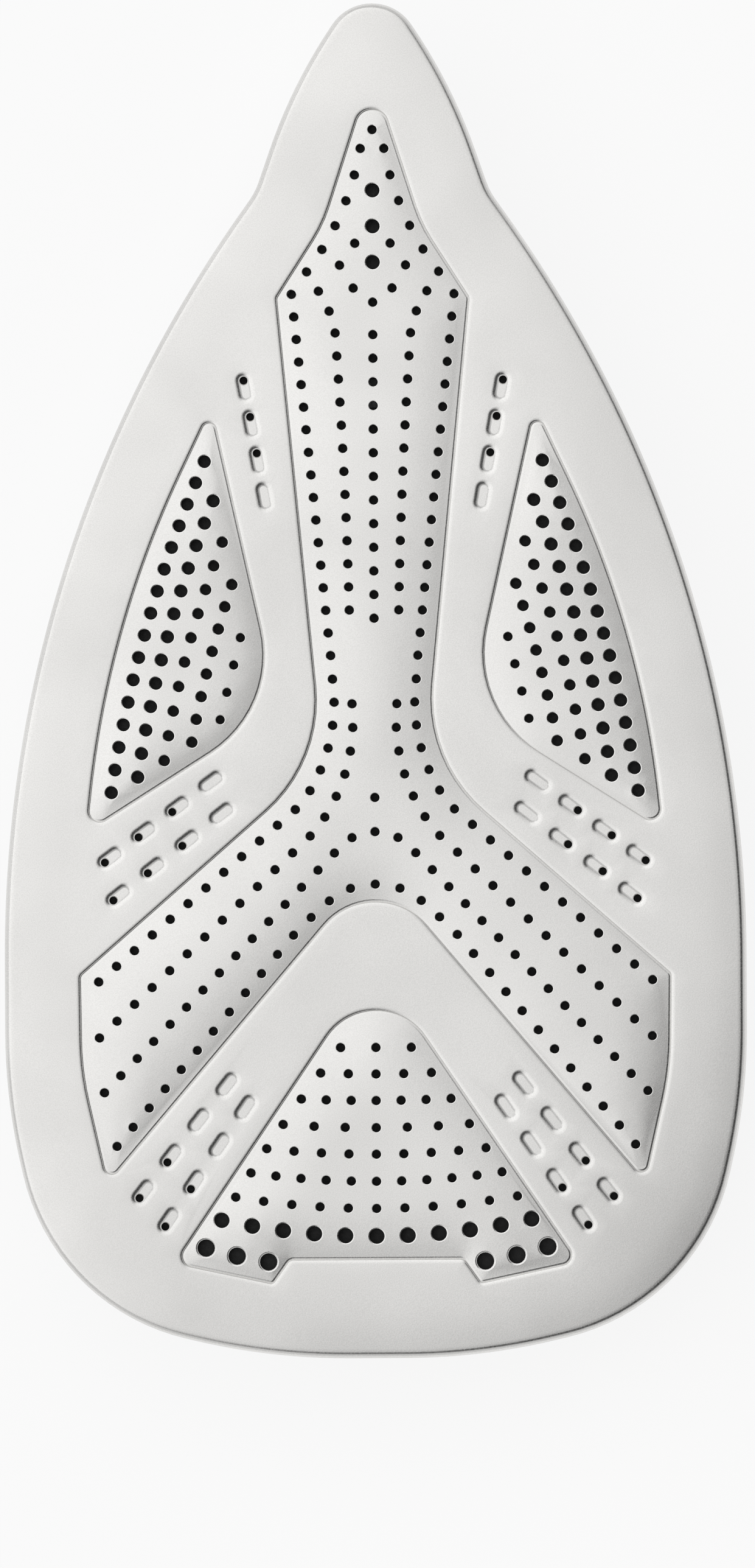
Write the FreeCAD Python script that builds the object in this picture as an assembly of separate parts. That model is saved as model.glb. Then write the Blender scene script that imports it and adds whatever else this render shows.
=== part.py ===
import FreeCAD, Part
import math
import os

# Soleplate of a steam iron, lying face up on its three fixing pillars.
# Millimetres, +Z up, nose toward +Y, width along X, centred on the middle of its outline.

V = FreeCAD.Vector

# Overall form
HEIGHT = 28.0
SHEET = 0.9
FLANGE = 8.0
HEM = 2.0
EDGE_R = 2.0
EDGE_BEVEL = 0.65
FIT = 0.1
FACE_Z = HEIGHT
BACK_Z = FACE_Z - SHEET
HEM_Z = FACE_Z - FLANGE
RIM_Z = HEM_Z + SHEET

# Pressed panels, dimples and steam holes of the skin
RECESS = 0.5
PILL_LENGTH = 4.6
PILL_WIDTH = 2.1
PILL_DRAFT = 0.4
SMALL = 1.6
MEDIUM = 1.95
LARGE = 2.25
NOSE = 2.5
HEEL = 2.7
BIG = 3.2
OUTLET = 1.6
HOLE_SIDES = 6

# Heater rod, hung under the rim plate
ROD_R = 3.5
ROD_SIDES = 8
ROD_GAP = 1.0
ROD_Z = RIM_Z - ROD_GAP - ROD_R
ROD_END = (27.0, -97.0)
ROD_BEND = (38.5, -28.0)
RIB_START = 11.0
PIN_R = 1.1
PIN_EMBED = 6.0
PIN_LENGTH = 9.0
BEAD_R = 3.0
BEAD_LENGTH = 4.0
BLADE_WIDTH = 6.3
BLADE_LENGTH = 11.2
BLADE_SHEET = 0.8

# Casting
GALLERY = 2.2
GALLERY_Z = BACK_Z - GALLERY
LAND = 1.4
SLOT = 3.0
WALL = 3.0
WALL_DEPTH = 12.9
WALL_Z = RIM_Z - WALL_DEPTH
SEAL = 1.0
BOSS_Z = WALL_Z - SEAL
BAFFLE = 2.0
BAFFLE_SPINE = [(0.0, 14.0), (0.0, -21.0)]
BAFFLE_ROWS = [38.0, 20.0, 2.0, -16.0]
BAFFLE_OUTER, BAFFLE_INNER = (40.0, 3.0), (7.0, -7.0)
STUB_ROWS = [7.0, -11.0]
STUB_END = (13.5, 3.0)
BAFFLE_Z = WALL_Z + 0.6
RIB_WIDTH = 12.0
RIB_COVER = 1.9
RIB_Z = ROD_Z - ROD_R - RIB_COVER
WEB = 3.0
PILLAR_R = 5.5
FRONT_PILLAR = (0.0, 85.0)
REAR_PILLAR = (44.0, -80.0)
M4_TAP_R = 1.65
M3_TAP_R = 1.25
M3_HEAD_R, M3_HEAD, M3_SHANK_R = 2.75, 2.0, 1.2
M4_HEAD_R, M4_HEAD, M4_SHANK_R = 3.6, 2.4, 1.6
COVER_SCREW_LENGTH, CLIP_SCREW_LENGTH, EARTH_SCREW_LENGTH = 9.0, 6.0, 6.5
PILLAR_THREAD = 14.0
COVER_THREAD = 9.0
PAD = (0.0, -62.0)
PAD_DEPTH = 8.9
PAD_Z = RIM_Z - PAD_DEPTH
PAD_SPACING = 28.0
PAD_SIZE = (22.0, 20.0)
PAD_EAR_R = 5.0
PAD_THREAD = 7.0

# Chamber cover, seals and screws
COVER_SHEET = 1.5
COVER_Z = BOSS_Z - COVER_SHEET
FIELD_RISE = 1.2
BUSH_LIP = 1.2
FIELD_Z = COVER_Z - FIELD_RISE
COVER_SCREWS = [(0.0, 58.5), (30.0, -40.5), (-30.0, -40.5)]
COVER_BOSS_R = 3.6
WATER_INLET = (0.0, 26.0)
BOOST_INLET = (0.0, -29.0)

# Earth terminal and thermal fuse
EARTH = (0.0, -102.0)
EARTH_BOSS_R = 5.0
EARTH_Z = RIM_Z - 6.9
EARTH_THREAD = 6.8
FUSE = (0.0, -86.0)
FUSE_Z = RIM_Z - 5.9
FUSE_R = 2.1
FUSE_LENGTH = 12.0
LEAD_R = 0.5
LEAD_SPAN = 40.0
SLEEVE_R = 2.8
SLEEVE_LENGTH = 24.0
FUSE_PAD = (20.0, 14.0)
FUSE_PAD_CENTRE = (0.0, -83.5)
CLIP_WIDTH = 8.0
CLIP_SHEET = 0.6
CLIP_SCREW = (0.0, -79.5)
CLIP_THREAD = 5.8

# Outlines by corner: x, y and corner radius, right half from nose to heel
SOLE = [
    (4.3, 115.0, 8.0), (13.6, 101.3, 90.0), (19.9, 83.1, 12.0), (63.0, 22.3, 218.0),
    (63.0, -70.5, 101.0), (55.0, -106.2, 37.0), (17.9, -115.0, 112.0),
]
CENTRE_PANEL = [
    (2.15, 97.1, 2.9), (8.5, 77.5, 25.0), (16.5, 65.0, 1.2), (8.9, -13.5, 25.0), (50.3, -49.8, 1.2),
    (50.1, -66.0, 50.0), (45.7, -85.4, 1.5), (0.0, -31.5, 11.2),
]
REAR_PANEL = [
    (0.0, -47.7, 10.2), (34.5, -98.8, 2.0), (17.6, -102.4, 0.9), (14.7, -98.3, 1.2),
]
SIDE_PANEL = [
    (27.4, 46.9, 1.4), (45.5, 8.9, 170.0), (49.1, -25.8, 2.0), (15.9, -4.8, 20.0),
]
CHAMBER = [(6.0, 64.0, 4.0), (35.5, -21.0, 20.0), (35.5, -46.0, 8.0)]
COVER_FIELD = [(4.0, 44.0, 4.5), (25.0, -20.5, 14.0), (25.0, -37.0, 5.0)]

# Webs that brace the pillars, right half: foot and toe in plan
WEBS = [(REAR_PILLAR, (31.0, -74.0)), (REAR_PILLAR, (50.0, -62.0)), (FRONT_PILLAR, (11.0, 82.0))]

# Hole rows: diameter, count, first, last and, on a curved row, a point it passes through
AXIS_ROWS = [
    (SMALL, 1, (0.0, 93.5), None, None),
    (NOSE, 3, (0.0, 83.2), (0.0, 71.0), None),
    (SMALL, 1, (0.0, 64.2), None, None),
    (SMALL, 13, (0.0, 58.7), (0.0, 10.6), None),
    (SMALL, 2, (0.0, -19.8), (0.0, -25.6), None),
    (SMALL, 1, (0.0, -34.5), None, None),
    (SMALL, 3, (-6.0, -62.2), (6.0, -62.2), None),
    (SMALL, 5, (-9.4, -66.5), (9.4, -66.5), (0.0, -66.7)),
    (SMALL, 7, (-12.7, -70.9), (12.7, -70.9), (0.0, -71.2)),
    (SMALL, 7, (-15.8, -75.2), (15.8, -75.2), (0.0, -75.8)),
    (SMALL, 9, (-18.6, -79.3), (18.6, -79.3), (0.0, -80.3)),
    (SMALL, 11, (-21.3, -83.4), (21.3, -83.4), (0.0, -84.9)),
    (SMALL, 11, (-23.9, -87.5), (23.9, -87.5), (0.0, -89.5)),
    (HEEL, 11, (-26.3, -91.4), (26.3, -91.4), (0.0, -94.2)),
]
PAIRED_ROWS = [
    (SMALL, 6, (2.0, 90.3), (11.2, 69.4), (5.3, 79.4)),
    (SMALL, 17, (13.8, 65.6), (7.4, 4.3), None),
    (SMALL, 6, (7.1, 0.3), (11.0, -18.6), (7.1, -7.5)),
    (SMALL, 12, (13.5, -21.8), (47.0, -50.9), None),
    (SMALL, 2, (9.2, 66.1), (7.4, 62.7), None),
    (SMALL, 13, (6.4, 59.0), (4.2, 12.0), (5.0, 35.5)),
    (SMALL, 3, (3.0, 74.2), (3.3, 66.6), (5.6, 70.4)),
    (SMALL, 6, (3.8, -3.9), (8.5, -23.1), (4.5, -13.8)),
    (SMALL, 13, (11.0, -26.3), (46.9, -60.4), None),
    (SMALL, 1, (3.9, -26.6), None, None),
    (SMALL, 15, (6.9, -29.2), (46.1, -69.7), None),
    (SMALL, 3, (4.2, -35.2), (10.9, -40.1), (7.8, -37.3)),
    (SMALL, 12, (13.9, -43.1), (44.0, -78.8), None),
    (LARGE, 16, (28.7, 37.3), (44.7, -18.8), (38.9, 8.1)),
    (LARGE, 13, (27.2, 30.6), (40.2, -16.2), (35.0, 7.8)),
    (MEDIUM, 10, (25.7, 23.6), (35.7, -13.4), (31.0, 7.6)),
    (MEDIUM, 8, (24.1, 16.4), (31.0, -10.3), (27.5, 5.0)),
    (SMALL, 4, (22.7, 7.4), (26.2, -6.5), None),
    (BIG, 3, (18.4, -98.5), (29.0, -96.1), (23.7, -97.5)),
]

# Dimple rows: count, first and last centre, first dimple with an outlet, count of outlets, outlet side
DIMPLE_ROWS = [
    (4, (21.8, 49.8), (18.5, 31.3), 0, 3, -1),
    (4, (27.7, -17.1), (44.9, -29.9), 1, 3, 1),
    (4, (25.9, -22.5), (43.5, -36.3), 1, 3, 1),
    (4, (25.2, -68.5), (39.5, -86.6), 2, 2, 1),
    (4, (22.1, -72.4), (35.2, -91.4), 2, 2, 1),
]

# Steam slots that feed the dimple rows and tie the galleries together, right half
SLOTS = [
    ((22.3, 52.5), (18.1, 28.8)), ((18.8, 34.0), (12.0, 34.0)),
    ((27.0, -16.6), (46.5, -31.1)), ((25.2, -22.0), (45.1, -37.6)), ((38.5, -24.5), (33.5, -39.0)),
    ((24.5, -67.6), (40.7, -88.1)), ((21.5, -71.5), (36.4, -93.2)), ((33.0, -78.2), (21.0, -86.0)),
]
PASSAGES = [(0.0, 49.0, 5.0), (0.0, -39.9, 4.0), (21.8, 2.0, 3.0), (-21.8, 2.0, 3.0)]


def at(xy, z):
    """Point over a place in plan."""
    return V(xy[0], xy[1], z)


def mirrored(half):
    """Corners of the whole outline from its right half."""
    return half + [(-x, y, r) for x, y, r in reversed(half) if x > 0]


def rounded(corners, z, closed=True):
    """Wire through the corners, each rounded to its radius."""
    count = len(corners)
    stops = []
    for i, (x, y, r) in enumerate(corners):
        here = V(x, y, z)
        if not closed and i in (0, count - 1):
            stops.append((here, here, here))
            continue
        back = (at(corners[i - 1], z) - here).normalize()
        ahead = (at(corners[(i + 1) % count], z) - here).normalize()
        half = back.getAngle(ahead) / 2
        run = r / math.tan(half)
        middle = here + (back + ahead).normalize() * (r / math.sin(half) - r)
        stops.append((here + back * run, middle, here + ahead * run))
    edges = []
    for i, (start, middle, end) in enumerate(stops):
        if start.distanceToPoint(end) > 1e-6:
            edges.append(Part.Arc(start, middle, end).toShape())
        following = stops[(i + 1) % count][0]
        if (closed or i < count - 1) and end.distanceToPoint(following) > 1e-6:
            edges.append(Part.makeLine(end, following))
    return Part.Wire(edges)


def slab(wire, depth):
    """Plate of a closed wire, downward from it."""
    return Part.Face(wire).extrude(V(0, 0, -depth))


def inset(wire, distance):
    """Closed wire moved inward."""
    return wire.makeOffset2D(-distance)


def moved(wire, dz):
    """Copy of a wire at another height."""
    copy = wire.copy()
    copy.translate(V(0, 0, dz))
    return copy


def drafted(wire, depth):
    """Plug that narrows downward from a closed wire, at 45 degrees."""
    plug = slab(moved(wire, 0.2), depth + 0.2)
    low = wire.BoundBox.ZMin - depth
    return plug.makeChamfer(depth, [e for e in plug.Edges if e.BoundBox.ZMax < low + 0.01])


def pair(shape):
    """A shape and its mirror image across the middle plane."""
    return [shape, shape.mirror(V(0, 0, 0), V(1, 0, 0))]


def pegged(radius, xy, low, high):
    """Upright cylinder between two heights."""
    return Part.makeCylinder(radius, high - low, at(xy, low))


def lying(radius, length):
    """Cylinder along X, centred on the thermal fuse."""
    return Part.makeCylinder(radius, length, V(FUSE[0] - length / 2, FUSE[1], FUSE_Z), V(1, 0, 0))


def bar(start, end, width, low, high):
    """Upright web of a given width between two places."""
    run = at(end, low) - at(start, low)
    side = V(-run.y, run.x, 0).normalize() * (width / 2)
    points = [at(start, low) + side, at(start, low) - side, at(end, low) - side, at(end, low) + side]
    return Part.Face(Part.makePolygon(points + points[:1])).extrude(V(0, 0, high - low))


def block(centre, size, low, high):
    """Upright block centred in plan."""
    corner = V(centre[0] - size[0] / 2, centre[1] - size[1] / 2, low)
    return Part.makeBox(size[0], size[1], high - low, corner)


def centres(count, first, last, via):
    """Evenly spaced places along a straight or curved row."""
    if last is None:
        return [at(first, 0)]
    if via is None:
        line = Part.makeLine(at(first, 0), at(last, 0))
    else:
        line = Part.Arc(at(first, 0), at(via, 0), at(last, 0)).toShape()
    return line.discretize(count)


def steam_hole(place, diameter):
    """Prism with the cross-section area of a round hole."""
    turn = 2 * math.pi / HOLE_SIDES
    reach = diameter / 2 * math.sqrt(turn / math.sin(turn))
    points = []
    for i in range(HOLE_SIDES):
        angle = i * turn
        points.append(V(place.x + reach * math.cos(angle), place.y + reach * math.sin(angle), BACK_Z - 0.5))
    return Part.Face(Part.makePolygon(points + points[:1])).extrude(V(0, 0, 2))


def pill_points(place, along, shrink, z):
    """Corner points of a dimple's outline at one height."""
    side = V(-along.y, along.x, 0)
    wide = PILL_WIDTH / 2 - shrink
    reach = PILL_LENGTH / 2 - shrink
    shape = [(reach, 0.45), (reach - 0.55 * wide, 1.0), (0.55 * wide - reach, 1.0), (-reach, 0.45)]
    points = [along * a + side * (b * wide) for a, b in shape]
    points += [along * a - side * (b * wide) for a, b in reversed(shape)]
    return [V(place.x + p.x, place.y + p.y, z) for p in points]


def dimple(place, along):
    """Plug of one dimple, with sloping sides."""
    top = pill_points(place, along, -PILL_DRAFT / 4, FACE_Z + RECESS / 4)
    low = pill_points(place, along, PILL_DRAFT, FACE_Z - RECESS)
    faces = [Part.Face(Part.makePolygon(ring + ring[:1])) for ring in (top, low)]
    for i in range(len(top)):
        j = (i + 1) % len(top)
        faces.append(Part.Face(Part.makePolygon([top[i], top[j], low[j], low[i], top[i]])))
    solid = Part.Solid(Part.Shell(faces))
    solid.fixTolerance(1e-6)
    return solid


def turned(shape, xy, toward):
    """Shape made along +X at the origin, set at a place and turned to a direction in plan."""
    copy = shape.copy()
    copy.rotate(V(0, 0, 0), V(0, 0, 1), math.degrees(math.atan2(toward[1], toward[0])))
    copy.translate(at(xy, 0))
    return copy


def screw(xy, seat, head_r, head, shank_r, length):
    """Pan-head screw driven upward, with a cross recess."""
    body = pegged(head_r, xy, seat - head, seat).fuse(pegged(shank_r, xy, seat, seat + length))
    for size in ((head_r, head_r * 0.3), (head_r * 0.3, head_r)):
        body = body.cut(block(xy, size, seat - head, seat - head * 0.4))
    return body


# Sole skin: sheet drawn over the casting and hemmed under its rim
sole_wire = rounded(mirrored(SOLE), FACE_Z)
blank = slab(sole_wire, FLANGE)
top_edges = [e for e in blank.Edges if e.BoundBox.ZMin > FACE_Z - 0.01]
blank = blank.makeFillet(EDGE_R, top_edges)
hollow_wire = moved(inset(sole_wire, SHEET), -SHEET)
hollow = slab(hollow_wire, BACK_Z - RIM_Z)
hollow_edges = [e for e in hollow.Edges if e.BoundBox.ZMin > BACK_Z - 0.01]
hollow = hollow.makeChamfer(EDGE_BEVEL, hollow_edges)
mouth = slab(moved(inset(sole_wire, HEM), RIM_Z - FACE_Z + 0.1), SHEET + 1)
skin = blank.cut(hollow.fuse(mouth))

centre_wire = rounded(mirrored(CENTRE_PANEL), FACE_Z)
rear_wire = rounded(mirrored(REAR_PANEL), FACE_Z)
side_wire = rounded(SIDE_PANEL, FACE_Z)
pressed = [drafted(centre_wire, RECESS), drafted(rear_wire, RECESS)]
pressed += pair(drafted(side_wire, RECESS))
holes = []
for diameter, count, first, last, via in AXIS_ROWS:
    holes += [steam_hole(p, diameter) for p in centres(count, first, last, via)]
for diameter, count, first, last, via in PAIRED_ROWS:
    for p in centres(count, first, last, via):
        holes += [steam_hole(p, diameter), steam_hole(V(-p.x, p.y, 0), diameter)]
for count, first, last, start, outlets, side in DIMPLE_ROWS:
    along = (at(last, 0) - at(first, 0)).normalize()
    for i, p in enumerate(centres(count, first, last, None)):
        pressed += pair(dimple(p, along))
        if start <= i < start + outlets:
            q = p + along * (side * (PILL_LENGTH - PILL_WIDTH) / 2)
            holes += [steam_hole(q, OUTLET), steam_hole(V(-q.x, q.y, 0), OUTLET)]
skin = skin.cut(Part.Compound(pressed))
skin = skin.cut(Part.Compound(holes))

# Plate casting: rim plate, heater rib, steam chamber with baffles, pillars and pads
rim_wire = moved(inset(sole_wire, SHEET + FIT), -SHEET)
casting = slab(rim_wire, BACK_Z - RIM_Z)
rim_edges = [e for e in casting.Edges if e.BoundBox.ZMin > BACK_Z - 0.01]
casting = casting.makeChamfer(EDGE_BEVEL + FIT, rim_edges)

rod_half = [(ROD_END[0], ROD_END[1], 0.0), (ROD_BEND[0], ROD_BEND[1], 60.0), (8.0, 73.0, 8.0)]
rod_path = rounded(mirrored(rod_half), ROD_Z, closed=False)
leg = (at(ROD_BEND, 0) - at(ROD_END, 0)).normalize()
rib_start = (ROD_END[0] + leg.x * RIB_START, ROD_END[1] + leg.y * RIB_START, 0.0)
rib_path = rounded(mirrored([rib_start] + rod_half[1:]), ROD_Z, closed=False)
across = V(leg.y, -leg.x, 0)
rib_half = [(RIB_WIDTH / 2, RIM_Z + 1), (RIB_WIDTH / 2, RIB_Z + 2.5), (RIB_WIDTH / 2 - 2.5, RIB_Z)]
rib_shape = rib_half + [(-a, z) for a, z in reversed(rib_half)]
rib_points = [V(rib_start[0], rib_start[1], z) + across * a for a, z in rib_shape]
rib = rib_path.makePipe(Part.Face(Part.makePolygon(rib_points + rib_points[:1])))
rod_points = []
for i in range(ROD_SIDES):
    angle = 2 * math.pi * i / ROD_SIDES
    side_step = across * (ROD_R * math.cos(angle))
    rod_points.append(at(ROD_END, ROD_Z + ROD_R * math.sin(angle)) + side_step)
rod = rod_path.makePipe(Part.Face(Part.makePolygon(rod_points + rod_points[:1])))
rod = rod.fuse(pair(Part.makeCylinder(ROD_R, RIB_START + 1, at(ROD_END, ROD_Z), leg)))

chamber_wire = rounded(mirrored(CHAMBER), RIM_Z)
chamber_inner = inset(chamber_wire, WALL)
chamber_wall = slab(chamber_wire, RIM_Z - WALL_Z).cut(slab(chamber_inner, RIM_Z - WALL_Z))
added = [rib, chamber_wall]
chamber_room = slab(chamber_inner, RIM_Z - WALL_Z)
baffles = [bar(*BAFFLE_SPINE, BAFFLE, BAFFLE_Z, RIM_Z)]
for y in BAFFLE_ROWS:
    outer, inner = [(x, y + step) for x, step in (BAFFLE_OUTER, BAFFLE_INNER)]
    baffles += pair(bar(outer, inner, BAFFLE, BAFFLE_Z, RIM_Z))
for y in STUB_ROWS:
    baffles += pair(bar((0.0, y), (STUB_END[0], y + STUB_END[1]), BAFFLE, BAFFLE_Z, RIM_Z))
added += [b.common(chamber_room) for b in baffles]
added += [pegged(COVER_BOSS_R, xy, BOSS_Z, RIM_Z) for xy in COVER_SCREWS]
added += [pegged(PILLAR_R, FRONT_PILLAR, 0, RIM_Z)]
added += pair(pegged(PILLAR_R, REAR_PILLAR, 0, RIM_Z))
for foot, toe in WEBS:
    added += pair(bar(foot, toe, WEB, RIB_Z, RIM_Z))
pad_ends = [(PAD[0] + s * PAD_SPACING / 2, PAD[1]) for s in (-1, 1)]
added += [pegged(PAD_EAR_R, xy, PAD_Z, RIM_Z) for xy in pad_ends]
added += [block(PAD, PAD_SIZE, PAD_Z, RIM_Z), bar(pad_ends[0], pad_ends[1], 2 * PAD_EAR_R, PAD_Z, RIM_Z)]
added += [pegged(EARTH_BOSS_R, EARTH, EARTH_Z, RIM_Z), block(FUSE_PAD_CENTRE, FUSE_PAD, FUSE_Z, RIM_Z)]
casting = casting.fuse(added)

sleeve_outer = lying(SLEEVE_R, SLEEVE_LENGTH)
galleries = [slab(moved(inset(w, LAND), -SHEET), GALLERY) for w in (centre_wire, rear_wire)]
galleries += pair(slab(moved(inset(side_wire, LAND), -SHEET), GALLERY))
for start, end in SLOTS:
    galleries += pair(bar(start, end, SLOT, GALLERY_Z, BACK_Z))
galleries.append(bar((0.0, -38.0), (0.0, -60.0), 4.4, GALLERY_Z, BACK_Z))
sunk = [rod, sleeve_outer]
for x, y, width in PASSAGES:
    sunk.append(block((x, y), (width, width), RIM_Z - 1, GALLERY_Z + 0.1))
for xy in (FRONT_PILLAR, REAR_PILLAR, (-REAR_PILLAR[0], REAR_PILLAR[1])):
    sunk.append(pegged(M4_TAP_R, xy, 0, PILLAR_THREAD))
sunk += [pegged(M3_TAP_R, xy, BOSS_Z, BOSS_Z + COVER_THREAD) for xy in COVER_SCREWS]
sunk += [pegged(M3_TAP_R, xy, PAD_Z, PAD_Z + PAD_THREAD) for xy in pad_ends]
sunk.append(pegged(M4_TAP_R, EARTH, EARTH_Z, EARTH_Z + EARTH_THREAD))
sunk.append(pegged(M3_TAP_R, CLIP_SCREW, FUSE_Z, FUSE_Z + CLIP_THREAD))
casting = casting.cut(galleries).cut(sunk)

# Heater: sealed rod cast into the rib, with pin, bead and blade at each end
pin_bore = Part.makeCylinder(PIN_R, PIN_EMBED, V(-PIN_EMBED, 0, ROD_Z), V(1, 0, 0))
pin = Part.makeCylinder(PIN_R, PIN_EMBED + PIN_LENGTH, V(-PIN_EMBED, 0, ROD_Z), V(1, 0, 0))
bead = Part.makeCylinder(BEAD_R, BEAD_LENGTH, V(0, 0, ROD_Z), V(1, 0, 0))
bead = bead.cut(pin)
blade_x = BEAD_LENGTH + 0.6
blade_z = ROD_Z - PIN_R - BLADE_SHEET
blade_half = [(blade_x, 2.0), (blade_x + 3.5, 2.0), (blade_x + 4.6, BLADE_WIDTH / 2)]
blade_tip = blade_x + BLADE_LENGTH
blade_half += [(blade_tip - 1.2, BLADE_WIDTH / 2), (blade_tip, BLADE_WIDTH / 2 - 1.4)]
blade_points = [V(a, b, blade_z) for a, b in blade_half]
blade_points += [V(a, -b, blade_z) for a, b in reversed(blade_half)]
blade = Part.Face(Part.makePolygon(blade_points + blade_points[:1])).extrude(V(0, 0, BLADE_SHEET))
blade = blade.cut(pegged(0.9, (blade_tip - 2.8, 0.0), blade_z - 1, blade_z + 2))
ends = {"right": (ROD_END, (-leg.x, -leg.y)), "left": ((-ROD_END[0], ROD_END[1]), (leg.x, -leg.y))}
for xy, toward in ends.values():
    rod = rod.cut(turned(pin_bore, xy, toward))

# Chamber cover, its seal, the inlet bushes and the cover screws
cover_wire = rounded(mirrored(CHAMBER), BOSS_Z)
field_wire = rounded(mirrored(COVER_FIELD), COVER_Z)
cover = slab(cover_wire, COVER_SHEET).fuse(drafted(field_wire, FIELD_RISE))
cover = cover.cut(drafted(moved(inset(field_wire, COVER_SHEET), COVER_SHEET), FIELD_RISE))
cover = cover.cut([pegged(M3_TAP_R + 0.35, xy, COVER_Z - 1, BOSS_Z + 1) for xy in COVER_SCREWS])
seal = slab(moved(cover_wire, SEAL), SEAL)
seal = seal.cut(slab(moved(inset(cover_wire, WALL), SEAL), SEAL))
seal = seal.cut([pegged(COVER_BOSS_R + 0.2, xy, BOSS_Z - 1, WALL_Z + 1) for xy in COVER_SCREWS])
bushes = {}
for name, xy, bore in (("water_inlet_seal", WATER_INLET, 3.0), ("boost_inlet_seal", BOOST_INLET, 2.2)):
    neck = bore + 1.8
    cover = cover.cut(pegged(neck, xy, FIELD_Z - 1, COVER_Z + 1))
    body = pegged(neck, xy, FIELD_Z, COVER_Z + BUSH_LIP)
    body = body.fuse(pegged(neck + BUSH_LIP, xy, FIELD_Z - BUSH_LIP, FIELD_Z))
    bushes[name] = body.cut(pegged(bore, xy, FIELD_Z - 2, BOSS_Z + 1))
cover_screws = [
    screw(xy, COVER_Z, M3_HEAD_R, M3_HEAD, M3_SHANK_R, COVER_SCREW_LENGTH) for xy in COVER_SCREWS]

# Earth terminal at the heel
earth_low = EARTH_Z - BLADE_SHEET
earth_tab = block(EARTH, (9.0, 9.0), earth_low, EARTH_Z)
earth_tab = earth_tab.fuse(block((0.0, EARTH[1] - 7.2), (BLADE_WIDTH, 6.0), earth_low, EARTH_Z))
earth_tab = earth_tab.cut(pegged(2.1, EARTH, earth_low - 1, EARTH_Z + 1))
earth_screw = screw(EARTH, earth_low, M4_HEAD_R, M4_HEAD, M4_SHANK_R, EARTH_SCREW_LENGTH)

# Thermal fuse in its sleeve, under a clip with one foot
fuse = lying(FUSE_R, FUSE_LENGTH).fuse(lying(LEAD_R, LEAD_SPAN))
sleeve = sleeve_outer.cut(lying(FUSE_R, SLEEVE_LENGTH))
clip_r = SLEEVE_R + CLIP_SHEET
clip = lying(clip_r, CLIP_WIDTH)
clip = clip.cut(block(FUSE, (CLIP_WIDTH + 2, 3 * clip_r), FUSE_Z, FUSE_Z + 2 * clip_r))
foot_end = (FUSE[0], CLIP_SCREW[1] + CLIP_WIDTH * 0.42)
clip = clip.fuse(bar(FUSE, foot_end, CLIP_WIDTH, FUSE_Z - CLIP_SHEET, FUSE_Z)).cut(sleeve_outer)
clip = clip.cut(pegged(M3_TAP_R + 0.35, CLIP_SCREW, FUSE_Z - 2, FUSE_Z + 1))
clip_screw = screw(CLIP_SCREW, FUSE_Z - CLIP_SHEET, M3_HEAD_R, M3_HEAD, M3_SHANK_R, CLIP_SCREW_LENGTH)

nodes = {
    "sole_skin": skin, "plate_casting": casting, "heater_rod": rod, "chamber_cover": cover,
    "chamber_seal": seal, "cover_screws": Part.Compound(cover_screws),
    "earth_tab": earth_tab, "earth_screw": earth_screw, "thermal_fuse": fuse, "fuse_sleeve": sleeve,
    "fuse_clip": clip, "fuse_clip_screw": clip_screw,
}
nodes.update(bushes)
for hand, (xy, toward) in ends.items():
    nodes["heater_pin_" + hand] = turned(pin, xy, toward)
    nodes["heater_bead_" + hand] = turned(bead, xy, toward)
    nodes["heater_blade_" + hand] = turned(blade, xy, toward)

os.makedirs("parts", exist_ok=True)
for name, shape in nodes.items():
    shape.exportStep("parts/" + name + ".step")
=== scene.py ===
# %% [markdown]
# # The soleplate of a steam iron
# The part is the whole ironing end of a steam iron: a pressed stainless skin with its steam holes,
# drawn over an aluminium casting that holds the heater and the steam chamber.
# The CAD model already has every piece in place, so it is loaded first and never moved.
# Blender then gives the skin its fine edges and gives every piece its finish.

# %% Load the CAD model as a fixed frame
import math

import bmesh
import bpy
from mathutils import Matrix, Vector
from mathutils.geometry import delaunay_2d_cdt
from mathutils.kdtree import KDTree


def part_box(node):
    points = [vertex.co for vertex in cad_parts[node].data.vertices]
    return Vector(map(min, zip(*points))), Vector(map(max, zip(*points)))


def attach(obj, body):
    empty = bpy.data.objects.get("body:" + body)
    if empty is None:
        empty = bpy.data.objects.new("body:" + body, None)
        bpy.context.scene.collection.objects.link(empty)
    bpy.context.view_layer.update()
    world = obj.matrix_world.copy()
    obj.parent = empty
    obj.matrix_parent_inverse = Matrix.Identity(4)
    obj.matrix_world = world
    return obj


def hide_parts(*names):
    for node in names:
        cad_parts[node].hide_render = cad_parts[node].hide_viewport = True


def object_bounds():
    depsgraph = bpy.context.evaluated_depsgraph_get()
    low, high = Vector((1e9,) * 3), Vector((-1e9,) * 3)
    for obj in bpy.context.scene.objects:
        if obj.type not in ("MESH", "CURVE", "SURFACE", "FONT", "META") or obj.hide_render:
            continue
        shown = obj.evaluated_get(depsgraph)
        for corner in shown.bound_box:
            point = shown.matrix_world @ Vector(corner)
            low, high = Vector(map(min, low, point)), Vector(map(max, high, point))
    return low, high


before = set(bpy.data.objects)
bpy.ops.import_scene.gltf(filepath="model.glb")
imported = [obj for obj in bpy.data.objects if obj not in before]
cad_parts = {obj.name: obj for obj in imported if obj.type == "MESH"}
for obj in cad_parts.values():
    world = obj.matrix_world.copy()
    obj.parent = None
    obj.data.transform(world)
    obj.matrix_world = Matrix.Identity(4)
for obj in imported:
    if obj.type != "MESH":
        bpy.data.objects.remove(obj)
cad_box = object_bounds()
MM = 0.001
print("CAD nodes:", len(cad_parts), "box in mm:", [[round(c / MM, 1) for c in p] for p in cad_box])

# %% [markdown]
# ## Camera
# The photograph looks straight down on the ironing face, from far away, with the nose at the top.
# A camera can be placed by eye, but the outline's length gives the scale, so it can be worked out:
# one long lens, centred on the middle of the picture, at the height where the face fills the same share.

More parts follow.
